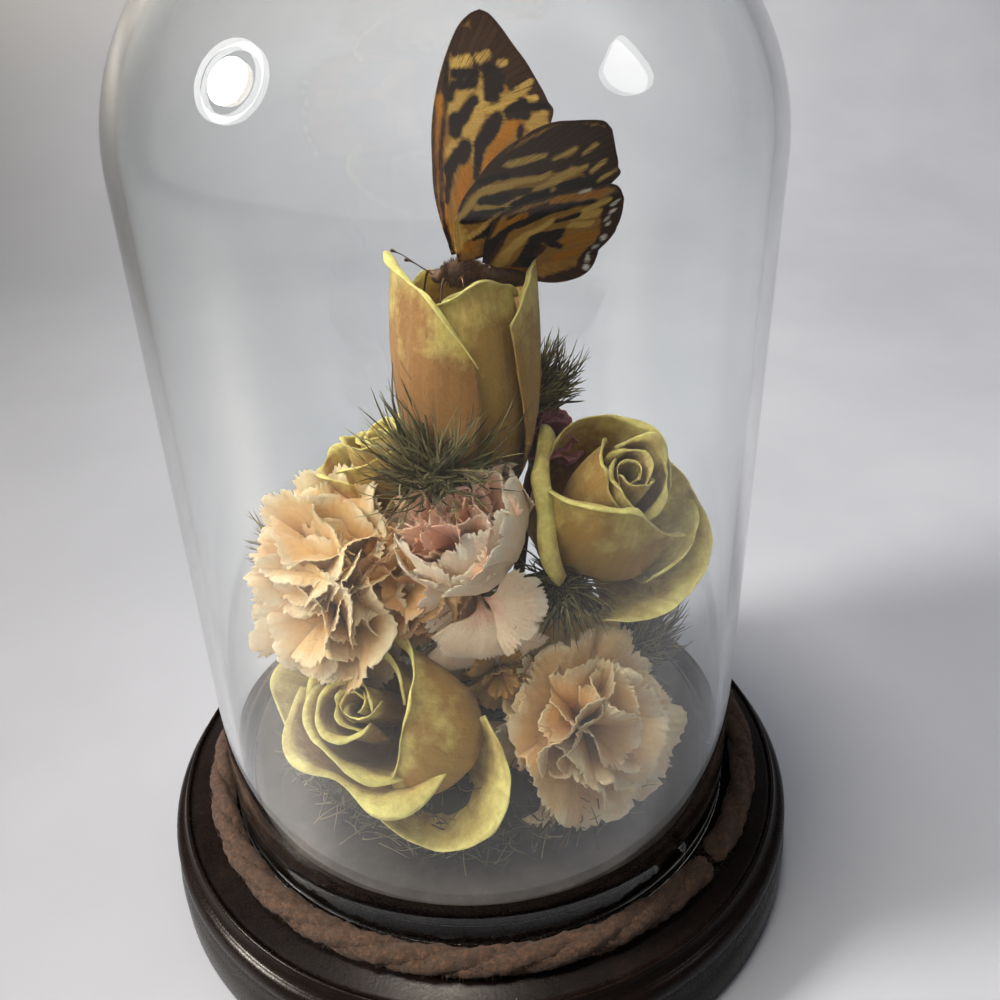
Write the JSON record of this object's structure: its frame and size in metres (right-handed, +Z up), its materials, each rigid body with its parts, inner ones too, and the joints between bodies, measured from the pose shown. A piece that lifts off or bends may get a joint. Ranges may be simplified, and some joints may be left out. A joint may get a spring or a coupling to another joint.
{
  "type": "butterfly in glass dome",
  "caption": "Mounted butterfly perched on an arrangement of dried roses and carnations under a clear glass dome, on a round dark turned wooden base with a cord round the foot of the glass.",
  "frame": {"origin": "centre of the wooden base's underside", "axes": "+Z up along the axis of the base and the dome; the front of the arrangement faces -Y, and +X is to its right as seen from the front"},
  "size_m": [0.1532, 0.1532, 0.221],
  "materials": {
    "wood": "dark stain under gloss lacquer",
    "glass": "clear, thin-walled",
    "cord": "fuzzy laid cord, matte",
    "moss": "dry and matte",
    "needles": "dry and matte",
    "stem": "dry and dull",
    "insect_body": "dark and dull, with short hairs",
    "wing": "powdery scales, matte",
    "rose_petal": "dried petal, soft sheen",
    "peach_petal": "dried petal, matte",
    "pink_petal": "dried petal, matte",
    "mauve_petal": "dried petal, matte",
    "ochre_petal": "dried petal, matte"
  },
  "bodies": {
    "root": {"antenna_left": "insect_body", "antenna_right": "insect_body", "back_rose_bud": "rose_petal", "back_rose_petal_1": "rose_petal", "back_rose_petal_2": "rose_petal", "back_rose_petal_3": "rose_petal", "back_rose_petal_4": "rose_petal", "back_rose_stem": "stem", "butterfly_body": "insect_body", "butterfly_left_forewing": "wing", "butterfly_left_hindwing": "wing", "butterfly_right_forewing": "wing", "butterfly_right_hindwing": "wing", "glass_dome": "glass", "left_carnation": "peach_petal", "left_carnation_stem": "stem", "lower_carnation": "peach_petal", "lower_carnation_stem": "stem", "lower_rose_bud": "rose_petal", "lower_rose_petal_1": "rose_petal", "lower_rose_petal_2": "rose_petal", "lower_rose_petal_3": "rose_petal", "lower_rose_petal_4": "rose_petal", "lower_rose_petal_5": "rose_petal", "lower_rose_petal_6": "rose_petal", "lower_rose_petal_7": "rose_petal", "lower_rose_stem": "stem", "mauve_flower": "mauve_petal", "mauve_flower_stem": "stem", "moss_bed": "moss", "needle_tuft_back": "needles", "needle_tuft_centre": "needles", "needle_tuft_left": "needles", "needle_tuft_middle": "needles", "needle_tuft_right": "needles", "ochre_flower": "ochre_petal", "ochre_flower_stem": "stem", "pink_carnation": "pink_petal", "pink_carnation_stem": "stem", "right_rose_bud": "rose_petal", "right_rose_petal_1": "rose_petal", "right_rose_petal_2": "rose_petal", "right_rose_petal_3": "rose_petal", "right_rose_petal_4": "rose_petal", "right_rose_petal_5": "rose_petal", "right_rose_petal_6": "rose_petal", "right_rose_petal_7": "rose_petal", "right_rose_stem": "stem", "rope_ring": "cord", "tan_carnation": "peach_petal", "tan_carnation_stem": "stem", "top_rose_bud": "rose_petal", "top_rose_petal_1": "rose_petal", "top_rose_petal_2": "rose_petal", "top_rose_petal_3": "rose_petal", "top_rose_petal_4": "rose_petal", "top_rose_stem": "stem", "wood_base": "wood"}
  },
  "joints": []
}
